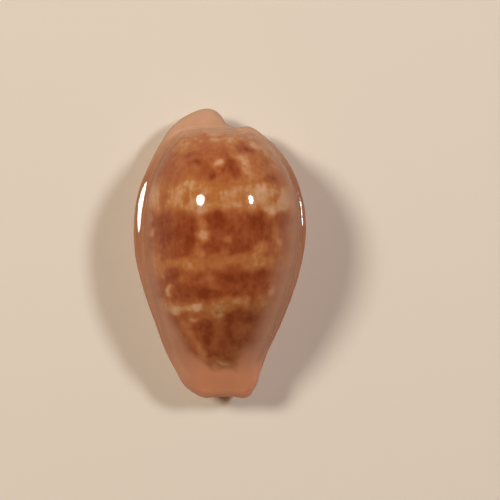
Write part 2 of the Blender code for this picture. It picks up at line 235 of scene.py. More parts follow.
def untapered(points, base=0.0):
    """The radius that, with the dome's taper towards its ends, passes through the given points."""
    y, r = (np.array(v, float) for v in zip(*points))
    v = np.abs(y - DOME_TOP_Y) / dome_half_length(y)
    return curve_of(list(zip(y, (r - base) / (1 - v**DOME_END) ** (1 / DOME_END))))


dome_x, dome_a, dome_b = curve_of(DOME_MID_X), untapered(DOME_HALF), untapered(DOME_TOP_Z, DOME_Z)


def dome_field(x, y, z):
    half, p, q = dome_half_length(y), DOME_END, DOME_ROUND
    up = z > DOME_Z
    a, b = dome_a(y), np.where(up, dome_b(y), DOME_LOW)
    lean = DOME_LEAN * np.where(up, (z - DOME_Z) / b, 0)
    u, v, w = np.abs(x - dome_x(y) - lean) / a, np.abs(y - DOME_TOP_Y) / half, np.abs(z - DOME_Z) / b
    r = (u**q + w**q) ** (1 / q) + 1e-6
    n = (r**p + v**p) ** (1 / p)
    along_r, along_v = (r / n) ** (p - 1), (v / n) ** (p - 1)
    slope = np.sqrt((along_r * (u / r) ** (q - 1) / a) ** 2 + (along_r * (w / r) ** (q - 1) / b) ** 2 + (along_v / half) ** 2) + 1e-9
    return (n - 1) / slope


def base_height(x, y):
    return base_z(y) + LIP_RAISE * np.exp(-(((x - gap_x(y)) / 2.7) ** 2))


def rim_field(x, y, z):
    d, zm = depth_at(x, y), rim_z(y)
    up = z > zm
    wide = np.where(up, rim_round(x, y), base_round(y))
    high = np.where(up, rim_up(x, y), zm - base_height(x, y))
    power = np.where(up, 2.0, 2.1)
    u, v = np.maximum(1 - d / wide, 0), np.abs(z - zm) / high
    n = (u**power + v**power) ** (1 / power) + 1e-9
    slope = np.sqrt((u ** (power - 1) / wide) ** 2 + (v ** (power - 1) / high) ** 2) * n ** (1 - power) + 1e-9
    return (n - 1) / slope


def outer_field(x, y, z):
    return join(dome_field(x, y, z), rim_field(x, y, z), rim_blend(x, y))


def rolled_lips(x, y, z):
    """The rounded inner edges of the two lips: the columella on +X, the labrum on -X."""
    shrink = 0.5 * ramp(6, 12, np.abs(y + 1))
    inner = np.hypot(x - gap_x(y) - gap_w(y) / 2 - 2.05, (z - 3.9) * 0.8) - 2.1 + shrink
    outer = np.hypot(x - gap_x(y) + gap_w(y) / 2 + 1.75, z - 3.0) - 1.8 + 0.6 * shrink
    return np.minimum(inner, outer)


def void_field(x, y, z):
    wall = WALL_TOP + (WALL_SIDE - WALL_TOP) * ramp(11, 5, z) + WALL_ENDS * ramp(9, 15, np.abs(y + 1))
    hollow = dome_field(x, y, z) + wall
    hollow = cut(hollow, rolled_lips(x, y, z), 0.8)
    slot = cut(np.abs(x - gap_x(y)) - gap_w(y) / 2, -(z - roof_z(y)), 1.2)
    return join(hollow, slot, 1.7)


def teeth_height(x, y, z):
    side = x - gap_x(y)
    out = np.abs(side) - gap_w(y) / 2
    base = base_height(x, y)
    total = 0.0
    for sign, t in ((-1, LABRAL_TEETH), (1, COLUMELLAR_TEETH)):
        phase = (t["y0"] - y) / (t["y0"] - t["y1"]) * (t["count"] - 1)
        ridge = (0.5 + 0.5 * np.cos(2 * math.pi * phase)) ** 1.3 - 0.3
        along = ramp(-0.6, -0.1, phase) * ramp(t["count"] - 0.4, t["count"] - 0.9, phase)
        across = ramp(t["reach"], 0.35, out) * ramp(base + 3.1, base + 1.7, z)
        total = total + t["high"] * ridge * along * across * (np.sign(side) == sign)
    return total


def shell_field(x, y, z):
    return cut(outer_field(x, y, z), void_field(x, y, z), LIP_FILLET) - teeth_height(x, y, z)


def settle(p, field, rounds=7, most=0.6):
    """Moves points along the field's slope until they lie on its surface."""
    e = 1e-3
    for _ in range(rounds):
        x, y, z = p.T
        f = field(x, y, z)
        g = np.stack(
            [
                field(x + e, y, z) - field(x - e, y, z),
                field(x, y + e, z) - field(x, y - e, z),
                field(x, y, z + e) - field(x, y, z - e),
            ],
            1,
        ) / (2 * e)
        step = f[:, None] * g / np.maximum((g * g).sum(1), 0.05)[:, None]
        size = np.linalg.norm(step, axis=1, keepdims=True)
        p = p - step * np.minimum(1, most / np.maximum(size, 1e-9))
    return p


def surface_net(field, cell, low, high):
    """Quads around the field's zero surface, one vertex in each grid cell it passes through."""
    axes = [np.arange(a, b + cell, cell) for a, b in zip(low, high)]
    shape = tuple(len(a) for a in axes)
    grid = np.meshgrid(*axes, indexing="ij")
    f = field(*(g.ravel() for g in grid)).reshape(shape)
    cells = tuple(n - 1 for n in shape)
    total, hits = np.zeros(cells + (3,)), np.zeros(cells)
    crossings = []
    for a in range(3):
        b, c = (a + 1) % 3, (a + 2) % 3
        lo = tuple(slice(None, -1) if i == a else slice(None) for i in range(3))
        hi = tuple(slice(1, None) if i == a else slice(None) for i in range(3))
        f0, f1 = f[lo], f[hi]
        ix = np.argwhere((f0 < 0) != (f1 < 0))
        v0, v1 = f0[tuple(ix.T)], f1[tuple(ix.T)]
        where = ix.astype(float)
        where[:, a] += v0 / (v0 - v1)
        for db in (0, 1):
            for dc in (0, 1):
                home = ix.copy()
                home[:, b] -= db
                home[:, c] -= dc
                np.add.at(total, tuple(home.T), where)
                np.add.at(hits, tuple(home.T), 1)
        crossings.append((ix, v0 < 0, b, c))
    number = np.full(cells, -1)
    used = hits > 0
    number[used] = np.arange(used.sum())
    verts = np.array(low) + cell * total[used] / hits[used][:, None]
    quads = []
    for ix, outward, b, c in crossings:
        ring = []
        for db, dc in ((1, 1), (0, 1), (0, 0), (1, 0)):
            home = ix.copy()
            home[:, b] -= db
            home[:, c] -= dc
            ring.append(number[tuple(home.T)])
        q = np.stack(ring, 1)
        q[~outward] = q[~outward][:, ::-1]
        quads.append(q)
    return verts, np.concatenate(quads)


def even_out(verts, faces, field, rounds):
    """Spreads the vertices evenly over the surface."""
    k = faces.shape[1]
    a = np.concatenate([faces[:, i] for i in range(k)])
    b = np.concatenate([faces[:, (i + 1) % k] for i in range(k)])
    count = np.bincount(a, minlength=len(verts))[:, None]
    for _ in range(rounds):
        mean = np.stack([np.bincount(a, verts[b, i], len(verts)) for i in range(3)], 1) / count
        verts = settle(verts + 0.7 * (mean - verts), field, 2, 0.3)
    return settle(verts, field, 4, 0.3)


def mesh_of(name, verts, faces):
    mesh = bpy.data.meshes.new(name)
    mesh.from_pydata((verts * MM).tolist(), [], faces.tolist())
    mesh.update()
    return mesh


# ---------------------------------------------------------------- the fine shell
CELL = 0.225
points, quads = surface_net(shell_field, CELL, (-11.6, -19.1, -0.9), (11.6, 19.1, 18.6))
points = even_out(points, quads, shell_field, 3)
outer = outer_field(*points.T)
e = 2e-3
slope = np.stack([(shell_field(*(points + d).T) - shell_field(*(points - d).T)) for d in np.eye(3) * e], 1)
slope /= np.linalg.norm(slope, axis=1, keepdims=True)
points[:, 2] = np.maximum(points[:, 2], 0.0)

shell = bpy.data.objects.new("fine_shell", mesh_of("fine_shell", points, quads))
bpy.context.scene.collection.objects.link(shell)
shell.data.shade_smooth()

# ---------------------------------------------------------------- markings, laid out on the plan of the back (mm)
# Plan coordinates are those seen from a point high above the shell, on the level of its rim.
EYE = (3.72, 0.37, 225.3)
LEVEL = 5.3


def plan_of(p):
    k = (EYE[2] - LEVEL) / (EYE[2] - p[:, 2])
    return EYE[0] + (p[:, 0] - EYE[0]) * k, EYE[1] + (p[:, 1] - EYE[1]) * k


def value_noise(x, y, size, seed):
    """Smooth noise from -1 to 1 with features of the given size."""
    rng = np.random.default_rng(seed)
    table = rng.uniform(-1, 1, (64, 64))
    fx, fy = x / size + 200.5, y / size + 200.5
    ix, iy = np.floor(fx).astype(int), np.floor(fy).astype(int)
    tx, ty = fx - ix, fy - iy
    tx, ty = tx * tx * (3 - 2 * tx), ty * ty * (3 - 2 * ty)
    ix, iy, jx, jy = ix % 64, iy % 64, (ix + 1) % 64, (iy + 1) % 64
    return (table[ix, iy] * (1 - tx) + table[jx, iy] * tx) * (1 - ty) + (table[ix, jy] * (1 - tx) + table[jx, jy] * tx) * ty


# Depth of brown along the length: (y, depth), pale at 0 and darkest at 1.
BANDS = [
    (15.76, 0.38), (14.76, 0.36), (13.77, 0.46), (12.78, 0.62), (11.54, 0.7), (10.05, 0.72), (9.06, 0.6), (8.31, 0.4),
    (7.07, 0.36), (5.83, 0.38), (5.21, 0.62), (4.47, 0.86), (3.35, 0.88), (1.61, 0.86), (0.37, 0.84), (-0.37, 0.66),
    (-0.99, 0.47), (-1.61, 0.5), (-2.23, 0.7), (-3.1, 0.84), (-4.59, 0.86), (-5.58, 0.74), (-6.08, 0.46), (-6.82, 0.38),
    (-7.44, 0.52), (-8.31, 0.72), (-9.55, 0.74), (-11.41, 0.74), (-12.78, 0.66), (-14.02, 0.52), (-15.14, 0.4),
]
OCHRE = [
    (15.76, 0.55), (14.02, 0.2), (11.54, 0.05), (9.31, 0.15), (8.31, 0.85), (5.83, 0.8), (4.96, 0.1), (1.61, 0), (-0.37, 0.5),
    (-1.36, 0.75), (-2.11, 0.2), (-3.97, 0.05), (-5.71, 0.5), (-6.82, 0.9), (-7.82, 0.5), (-8.81, 0.1), (-11.41, 0),
    (-13.28, 0.45), (-14.76, 0.2),
]
# Single markings: (x, y, half width, half height, turn in degrees, depth, strength).
MARKS = [
    (-0.99, 15.01, 1.12, 0.37, -8, 0.22, 0.8), (1.12, 14.64, 0.74, 0.37, 0, 0.25, 0.5), (-1.74, 14.02, 0.5, 0.5, 0, 0.62, 0.6),
    (-0.5, 13.9, 0.62, 0.31, 0, 0.25, 0.7), (-4.47, 13.28, 1.12, 0.74, 30, 0.36, 0.75),
    (-2.98, 13.52, 0.5, 0.25, -35, 0.55, 0.6), (3.23, 12.78, 0.74, 0.32, -20, 0.97, 0.9),
    (2.48, 13.4, 0.62, 0.37, -20, 0.8, 0.6), (4.71, 13.28, 1.24, 0.62, -25, 0.22, 0.8),
    (5.96, 12.53, 0.74, 0.62, -40, 0.2, 0.7), (-0.5, 12.66, 1.49, 0.5, 0, 0.66, 0.6),
    (-3.72, 12.03, 1.12, 0.27, 15, 0.74, 0.5), (-0.12, 11.17, 0.99, 0.52, 0, 0.16, 0.95),
    (2.48, 11.91, 0.87, 0.56, -20, 0.16, 0.85), (3.23, 10.92, 0.74, 0.99, 28, 0.26, 0.9),
    (4.34, 9.68, 0.99, 0.62, 0, 0.3, 0.75), (-2.11, 11.17, 1.24, 0.5, 15, 0.86, 0.8), (1.36, 10.79, 0.87, 0.99, 20, 0.93, 0.9),
    (1.99, 9.93, 0.62, 0.5, 0, 0.9, 0.8), (-0.99, 9.55, 0.45, 0.62, 0, 0.98, 0.9), (-1.74, 10.05, 0.74, 0.5, 0, 0.84, 0.6),
    (-2.85, 10.55, 0.62, 0.37, 0, 0.52, 0.7), (-4.47, 10.17, 0.62, 0.87, 35, 0.46, 0.6),
    (-5.96, 9.55, 0.87, 0.74, 0, 0.66, 0.5), (-6.45, 11.04, 0.74, 0.74, 0, 0.62, 0.4), (-5.21, 11.54, 0.74, 0.5, 0, 0.56, 0.5),
    (4.96, 11.41, 0.62, 0.99, 15, 0.52, 0.7), (5.71, 10.05, 0.5, 0.74, 0, 0.45, 0.5), (6.33, 9.18, 0.74, 0.42, 0, 0.84, 0.85),
    (3.23, 9.55, 0.5, 0.32, 0, 0.66, 0.6), (4.47, 8.93, 0.87, 0.3, 0, 0.62, 0.6), (1.61, 8.81, 1.49, 0.37, 0, 0.58, 0.6),
    (6.95, 11.54, 0.74, 1.49, 0, 0.22, 0.7), (5.21, 8.06, 0.74, 0.37, 0, 0.34, 0.5), (-8.19, 7.07, 0.56, 0.87, 0, 0.16, 0.8),
    (-6.95, 6.82, 0.52, 1.24, 0, 0.6, 0.8), (-5.21, 7.07, 0.99, 0.99, 0, 0.26, 0.8), (-4.47, 6.58, 0.45, 0.62, 0, 0.58, 0.75),
    (-3.97, 5.83, 0.62, 0.5, 0, 0.26, 0.6), (-3.47, 8.31, 0.99, 0.43, 0, 0.28, 0.8), (-0.25, 6.82, 1.36, 0.99, 0, 0.46, 0.7),
    (-1.12, 6.58, 0.62, 0.25, 0, 0.58, 0.6), (1.61, 7.32, 0.62, 0.42, 0, 0.24, 0.8), (1.24, 5.71, 0.74, 0.37, 0, 0.3, 0.7),
    (0.25, 8.06, 0.87, 0.37, 0, 0.5, 0.5), (2.48, 6.7, 0.74, 0.87, 0, 0.5, 0.6), (-2.11, 5.58, 0.62, 0.74, 0, 0.26, 0.7),
    (5.21, 7.57, 1.36, 1.12, 0, 0.18, 0.9), (6.7, 6.7, 0.57, 0.81, -25, 0.52, 0.85), (8.06, 6.7, 0.74, 1.49, 0, 0.06, 0.9),
    (6.33, 5.09, 0.99, 0.87, -30, 0.16, 0.9), (3.72, 5.46, 0.5, 0.5, 0, 0.28, 0.6), (7.44, 5.83, 0.62, 0.62, 0, 0.18, 0.7),
    (-6.7, 3.85, 0.62, 1.24, 0, 0.94, 0.8), (-5.58, 4.71, 1.24, 0.5, 10, 0.84, 0.6), (-4.96, 3.97, 0.74, 0.62, 0, 0.72, 0.7),
    (-7.2, 2.61, 0.62, 0.87, 0, 0.88, 0.6), (-5.96, 0.99, 0.74, 0.87, 0, 0.78, 0.7), (-3.72, 1.24, 0.87, 1.24, -20, 0.95, 0.8),
    (-5.46, 2.23, 0.99, 0.5, 0, 0.92, 0.6), (-5.21, -0.12, 1.12, 0.5, 0, 0.86, 0.6), (-2.36, 5.09, 0.62, 0.62, 0, 0.28, 0.8),
    (-2.36, 3.47, 0.57, 1.12, 0, 0.48, 0.9), (-2.36, 2.11, 0.74, 0.68, 0, 0.16, 0.95), (-2.36, 0.87, 0.52, 0.74, 0, 0.56, 0.7),
    (-2.23, 0, 0.62, 0.45, 0, 0.34, 0.8), (-0.37, 4.09, 0.99, 0.99, 0, 0.99, 0.9), (2.48, 4.09, 1.12, 0.74, 0, 0.78, 0.7),
    (1.61, 2.48, 0.87, 0.62, 0, 0.95, 0.8), (1.12, 1.61, 0.68, 0.45, 0, 0.46, 0.85), (-0.25, 2.11, 0.87, 0.5, 0, 0.76, 0.5),
    (-0.62, 0.5, 0.99, 0.62, 0, 0.95, 0.8), (2.36, 0.37, 0.99, 0.62, 0, 0.97, 0.85), (3.1, 1.86, 0.99, 0.5, 0, 0.8, 0.6),
    (4.71, 3.85, 0.99, 0.99, 0, 0.97, 0.85), (5.83, 2.36, 0.74, 0.99, 0, 0.93, 0.8), (5.21, 4.59, 0.62, 0.37, 20, 0.85, 0.6),
    (7.82, 4.47, 0.42, 0.99, -35, 0.86, 0.85), (6.95, 3.35, 0.5, 0.87, -35, 0.7, 0.6), (5.09, 0.37, 0.74, 0.74, 20, 0.36, 0.8),
    (6.33, 0.5, 0.62, 0.74, 0, 0.5, 0.5), (7.32, 1.61, 0.62, 1.49, 0, 0.28, 0.75), (3.97, 0.87, 0.5, 0.5, 0, 0.8, 0.5),
    (-8.44, 2.36, 0.5, 0.62, -30, 0.28, 0.8), (-7.82, 0.87, 0.45, 0.62, -30, 0.58, 0.7),
    (-8.06, -0.62, 0.62, 0.62, 0, 0.34, 0.7), (-8.81, 3.85, 0.37, 0.99, 0, 0.42, 0.6),
    (-6.08, -1.36, 0.87, 0.43, 0, 0.44, 0.6), (-4.47, -1.49, 0.5, 0.45, 0, 0.42, 0.8),
    (-3.23, -1.12, 0.62, 0.37, 0, 0.46, 0.6), (-1.61, -1.74, 0.37, 0.3, 0, 0.74, 0.7),
    (-1.12, -1.12, 0.74, 0.43, 0, 0.48, 0.5), (1.24, -0.87, 0.74, 0.42, 0, 0.4, 0.7), (2.48, -1.86, 0.62, 0.37, 0, 0.6, 0.5),
    (4.84, -0.99, 0.74, 0.62, -30, 0.26, 0.85), (3.47, -1.61, 0.62, 0.42, 0, 0.42, 0.6),
    (5.96, -1.36, 0.62, 0.74, 0, 0.38, 0.7), (-7.44, -2.36, 0.5, 0.74, 0, 0.34, 0.6),
    (-5.71, -2.73, 0.87, 0.62, -20, 0.85, 0.8), (-4.47, -3.23, 0.74, 0.55, 0, 0.6, 0.8),
    (-5.21, -4.34, 0.74, 0.62, 0, 0.8, 0.6), (-6.33, -4.71, 0.45, 0.62, -30, 0.14, 0.9),
    (-8.06, -3.47, 0.32, 0.42, 0, 0.62, 0.8), (-7.44, -4.47, 0.5, 0.5, 0, 0.6, 0.5), (-3.72, -4.47, 0.99, 0.57, 10, 0.92, 0.8),
    (-1.99, -4.84, 0.87, 0.55, 0, 1, 0.95), (-2.98, -3.72, 0.99, 0.37, 15, 0.66, 0.5),
    (-3.97, -5.71, 1.24, 0.37, 0, 0.82, 0.6), (-1.12, -3.23, 0.74, 0.87, 0, 0.58, 0.75),
    (-0.37, -4.22, 0.62, 0.5, 0, 0.62, 0.7), (0.74, -2.73, 0.99, 0.62, 0, 0.93, 0.8), (2.85, -3.23, 0.99, 0.87, 0, 0.95, 0.85),
    (4.84, -2.98, 0.93, 0.87, 0, 1, 0.95), (1.24, -4.84, 0.74, 0.42, 0, 0.96, 0.85), (1.99, -3.97, 0.74, 0.37, 0, 0.76, 0.5),
    (3.47, -4.59, 0.87, 0.5, 15, 0.9, 0.6), (5.46, -3.97, 0.62, 0.5, 0, 0.8, 0.6), (6.33, -3.72, 0.5, 0.74, -30, 0.4, 0.6),
    (-5.71, -7.07, 0.5, 0.87, 15, 0.08, 0.9), (-6.95, -6.2, 0.62, 0.62, 0, 0.28, 0.7), (-2.85, -6.58, 0.68, 0.52, 0, 0, 0.95),
    (-4.09, -6.82, 0.74, 0.35, 0, 0.2, 0.85), (-4.47, -7.69, 0.5, 0.5, -30, 0.74, 0.85),
    (-5.09, -6.2, 0.37, 0.3, 0, 0.66, 0.5), (-0.87, -6.58, 0.62, 0.62, 0, 0.36, 0.7),
    (-0.12, -7.82, 0.62, 0.47, -20, 0.22, 0.9), (-3.23, -8.19, 0.5, 0.35, 0, 0.26, 0.8),
    (-1.86, -7.69, 0.74, 0.42, 0, 0.5, 0.6), (1.24, -6.2, 0.87, 0.37, 0, 0.44, 0.7), (2.48, -6.95, 0.87, 0.37, 0, 0.6, 0.5),
    (3.47, -6.2, 0.42, 0.5, 0, 0.36, 0.7), (4.34, -5.71, 0.57, 0.55, -30, 0.7, 0.8), (5.09, -5.33, 0.5, 0.5, 0, 0.44, 0.6),
    (6.33, -4.71, 0.62, 0.45, 30, 0.12, 0.85), (5.58, -5.96, 0.62, 0.74, 0, 0.5, 0.6), (4.22, -6.82, 0.42, 0.62, 0, 0.62, 0.6),
    (5.71, -7.07, 0.35, 0.74, -35, 0.72, 0.7), (1.36, -8.19, 0.87, 0.62, 0, 0.97, 0.9),
    (3.23, -7.82, 1.12, 0.68, 0, 0.93, 0.85), (-2.85, -9.18, 0.99, 0.62, 20, 0.84, 0.8),
    (-1.36, -9.43, 0.5, 0.87, 0, 0.94, 0.85), (-1.49, -10.92, 0.55, 0.87, 0, 1, 0.9), (-0.25, -9.18, 0.57, 0.87, 0, 0.58, 0.8),
    (0, -10.92, 0.62, 0.87, 0, 0.74, 0.7), (1.24, -9.8, 0.74, 0.74, 0, 0.9, 0.8), (2.11, -11.17, 0.87, 0.87, 0, 0.86, 0.7),
    (2.85, -9.55, 0.74, 0.62, 0, 0.74, 0.7), (3.97, -8.81, 0.62, 0.74, 20, 0.8, 0.6), (-0.99, -12.28, 0.74, 0.42, 0, 0.9, 0.8),
    (-4.22, -8.81, 0.5, 0.5, 0, 0.46, 0.8), (-4.84, -9.55, 0.5, 0.5, 0, 0.5, 0.6), (-3.72, -10.3, 0.42, 1.12, 38, 0.46, 0.8),
    (-2.48, -11.91, 0.45, 1.12, 35, 0.42, 0.85), (-4.59, -10.42, 0.22, 1.24, 35, 0.84, 0.8),
    (-3.1, -12.41, 0.22, 1.36, 40, 0.88, 0.85), (-1.61, -13.77, 0.27, 0.87, 50, 0.84, 0.85),
    (-1.12, -13.28, 0.87, 0.32, -25, 0.46, 0.7), (0.99, -12.9, 0.74, 0.37, -20, 0.84, 0.8),
    (1.99, -13.77, 0.62, 0.32, -30, 0.78, 0.8), (0.5, -13.77, 0.74, 0.3, -15, 0.26, 0.85),
    (0, -14.39, 0.62, 0.32, 0, 0.4, 0.7), (2.85, -11.91, 0.74, 0.74, 30, 0.72, 0.6), (1.12, -12.03, 0.74, 0.5, 0, 0.8, 0.6),
]
# Edge of the patterned back on each side: (y, x).
EDGE_L = [
    (15.76, -2.98), (15.01, -4.22), (14.02, -6.08), (12.78, -7.2), (10.92, -8.19), (8.81, -8.68), (6.58, -9.06), (4.09, -9.06),
    (1.61, -8.93), (-0.87, -8.56), (-3.35, -8.06), (-5.83, -7.44), (-7.69, -6.7), (-9.55, -5.58), (-11.41, -4.22),
    (-12.66, -2.98), (-14.02, -1.49), (-15.01, -0.74),
]
EDGE_R = [
    (15.76, 3.23), (15.01, 4.47), (14.02, 5.71), (12.78, 6.45), (10.92, 7.32), (9.06, 7.94), (6.58, 8.56), (4.09, 8.68),
    (1.61, 8.31), (-0.87, 7.57), (-3.35, 6.82), (-5.83, 6.2), (-7.69, 5.71), (-9.55, 4.96), (-11.41, 3.85), (-12.66, 2.85),
    (-14.02, 1.86), (-15.01, 0.99),
]

px, py = plan_of(points)
wx = px + 0.32 * value_noise(px, py, 1.3, 1) + 0.14 * value_noise(px, py, 0.55, 2)
wy = py + 0.32 * value_noise(px, py, 1.3, 3) + 0.14 * value_noise(px, py, 0.55, 4)
brown = curve_of(BANDS)(wy + 0.42 * value_noise(px, py, 2.4, 5) + 0.2 * value_noise(px, py, 0.9, 6))
for mx, my, rx, ry, turn, depth, strength in MARKS:
    c, s = math.cos(math.radians(turn)), math.sin(math.radians(turn))
    u = ((wx - mx) * c + (wy - my) * s) / rx
    v = (-(wx - mx) * s + (wy - my) * c) / ry
    w = min(1, 1.1 * strength) * np.exp(-((u * u + v * v) ** 1.5) * 0.7)
    brown = brown * (1 - w) + depth * w
left_edge, right_edge = curve_of(EDGE_L), curve_of(EDGE_R)
soft = 0.10 * value_noise(px, py, 0.9, 7)
inward = np.minimum((wx - left_edge(py)) / 1.0, (right_edge(py) - wx) / 1.35)
ends = np.minimum((15.15 - wy) / 0.7, (wy + 14.45) / 0.55)
back = ramp(-0.9, 1.0, np.minimum(inward, ends) + soft) * (slope[:, 2] > -0.2) * ramp(5.4, 6.6, points[:, 2])
inner = ramp(-0.35, -0.9, outer)
under = ramp(0.05, -0.55, slope[:, 2]) * ramp(6.0, 4.0, points[:, 2])
tip = ramp(-10.8, -15.6, points[:, 1] + 0.3 * value_noise(px, py, 1.5, 8))
lobe = ramp(8.5, 15.8, points[:, 1])


def attribute(name, values):
    data = shell.data.attributes.new(name, "FLOAT", "POINT")
    data.data.foreach_set("value", np.asarray(values, np.float32))


side = np.abs(points[:, 0] - gap_x(points[:, 1])) - gap_w(points[:, 1]) / 2
crest = np.clip(teeth_height(*points.T) / 0.3, -1, 1)
attribute("brown", np.clip(brown, 0, 1))
attribute("back", back)
attribute("inner", inner)
attribute("under", under)
attribute("tip", tip)
attribute("lobe", lobe)
attribute("crest", crest)
attribute("ochre", np.clip(curve_of(OCHRE)(wy), 0, 1))
attribute("near_slot", ramp(3.2, 0.2, side))
# Painted shade: the back is darkened towards the anterior end, more on the +X side, where the light falls off.
attribute("painted_shade_anterior", ramp(-4.6, -7.4, py) * (0.35 + 0.65 * ramp(-3.5, 0.5, px)))
seam = np.exp(-(((dome_field(*points.T) - rim_field(*points.T)) / 0.5) ** 2))
attribute("seam", seam * (1 - ramp(0.5, 2.5, points[:, 1]) * ramp(11.0, 9.5, points[:, 1])))
# Painted shade on the -X flank of the anterior end: its colour is darkened there.
attribute("painted_shade_tip_side", ramp(-2.2, -4.6, px) * tip)

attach(shell, "root")
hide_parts("cowrie_shell")


# Colours, in screen values.
PALE, LIGHT, MIDDLE = (212, 168, 136), (200, 149, 112), (182, 116, 69)
RUST, DARK, DARKEST = (168, 96, 57), (149, 76, 42), (129, 57, 27)
MARGIN_A, MARGIN_B = (172, 117, 88), (182, 128, 97)
TIP_A, TIP_B = (220, 150, 110), (209, 141, 106)
LOBE_A, LOBE_B = (204, 161, 132), (195, 147, 118)
BASE_A, BASE_B = (226, 184, 152), (214, 166, 132)
TOOTH, GROOVE = (238, 214, 190), (206, 148, 112)
INSIDE_A, INSIDE_B = (222, 200, 186), (206, 178, 166)
FLOOR_A, FLOOR_B = (0.785, 0.71, 0.62, 1.0), (0.775, 0.70, 0.61, 1.0)
# Lights: azimuth up from the X axis, angle from overhead, watts, colour.
LEFT_AZ, LEFT_ZEN, LEFT_POWER, LEFT_COLOUR = 18.0, 37.0, 1.40, (1.0, 0.99, 0.88)
LEFT_CAST = (24.5, 37.5)  # the part of each light that casts the shadows stands a little further round
RIGHT_AZ, RIGHT_ZEN, RIGHT_POWER, RIGHT_COLOUR = 18.0, 38.5, 1.08, (0.92, 0.97, 0.99)
RIGHT_CAST = (24.5, 37.5)
ROOM = 1.0
ROOM_GLOW = [(0.0, (0.46, 0.30, 0.18, 1)), (0.34, (0.34, 0.17, 0.08, 1)), (0.7, (0.12, 0.04, 0.015, 1)), (1.0, (0.06, 0.02, 0.01, 1))]
FLOOR_DIM = 0.55  # how much the card is subdued in the shell's gloss
FRAME_MM = 62.04  # width of the view on the level of the rim


# ---------------------------------------------------------------- material
def tone(r, g, b, gain=1.0):
    """A colour given in screen values, as a linear one."""
    line = [(v / 255 / 12.92) if v / 255 <= 0.04045 else ((v / 255 + 0.055) / 1.055) ** 2.4 for v in (r, g, b)]
    return tuple(gain * v for v in line) + (1.0,)


class Nodes:
    def __init__(self, tree):
        self.tree = tree

    def new(self, kind, inputs=None, **settings):
        node = self.tree.nodes.new(kind)
        for key, value in settings.items():
            setattr(node, key, value)
        for key, value in (inputs or {}).items():
            if isinstance(value, bpy.types.NodeSocket):
                self.tree.links.new(value, node.inputs[key])
            else:
                node.inputs[key].default_value = value
        return node

    def attribute(self, name):
        return self.new("ShaderNodeAttribute", attribute_name=name, attribute_type="GEOMETRY").outputs["Fac"]

    def math(self, operation, a, b=0.0, c=0.0, clamp=False):
        return self.new("ShaderNodeMath", {0: a, 1: b, 2: c}, operation=operation, use_clamp=clamp).outputs[0]

    def noise(self, where, scale, detail=2.0, rough=0.5, distort=0.0):
        node = self.new("ShaderNodeTexNoise", {"Vector": where, "Scale": scale, "Detail": detail, "Roughness": rough, "Distortion": distort})
        return node.outputs["Fac"]

    def mix(self, factor, a, b, blend="MIX"):
        node = self.new("ShaderNodeMix", data_type="RGBA", blend_type=blend)
        for socket, value in ((node.inputs[0], factor), (node.inputs[6], a), (node.inputs[7], b)):
            if isinstance(value, bpy.types.NodeSocket):
                self.tree.links.new(value, socket)
            else:
                socket.default_value = value
        return node.outputs[2]

    def ramp(self, factor, stops, kind="LINEAR"):
        node = self.new("ShaderNodeValToRGB", {"Fac": factor})
        band = node.color_ramp
        band.interpolation = kind
        while len(band.elements) > 1:
            band.elements.remove(band.elements[-1])
        band.elements[0].position, band.elements[0].color = stops[0]
        for at, colour in stops[1:]:
            band.elements.new(at).color = colour
        return node.outputs["Color"]


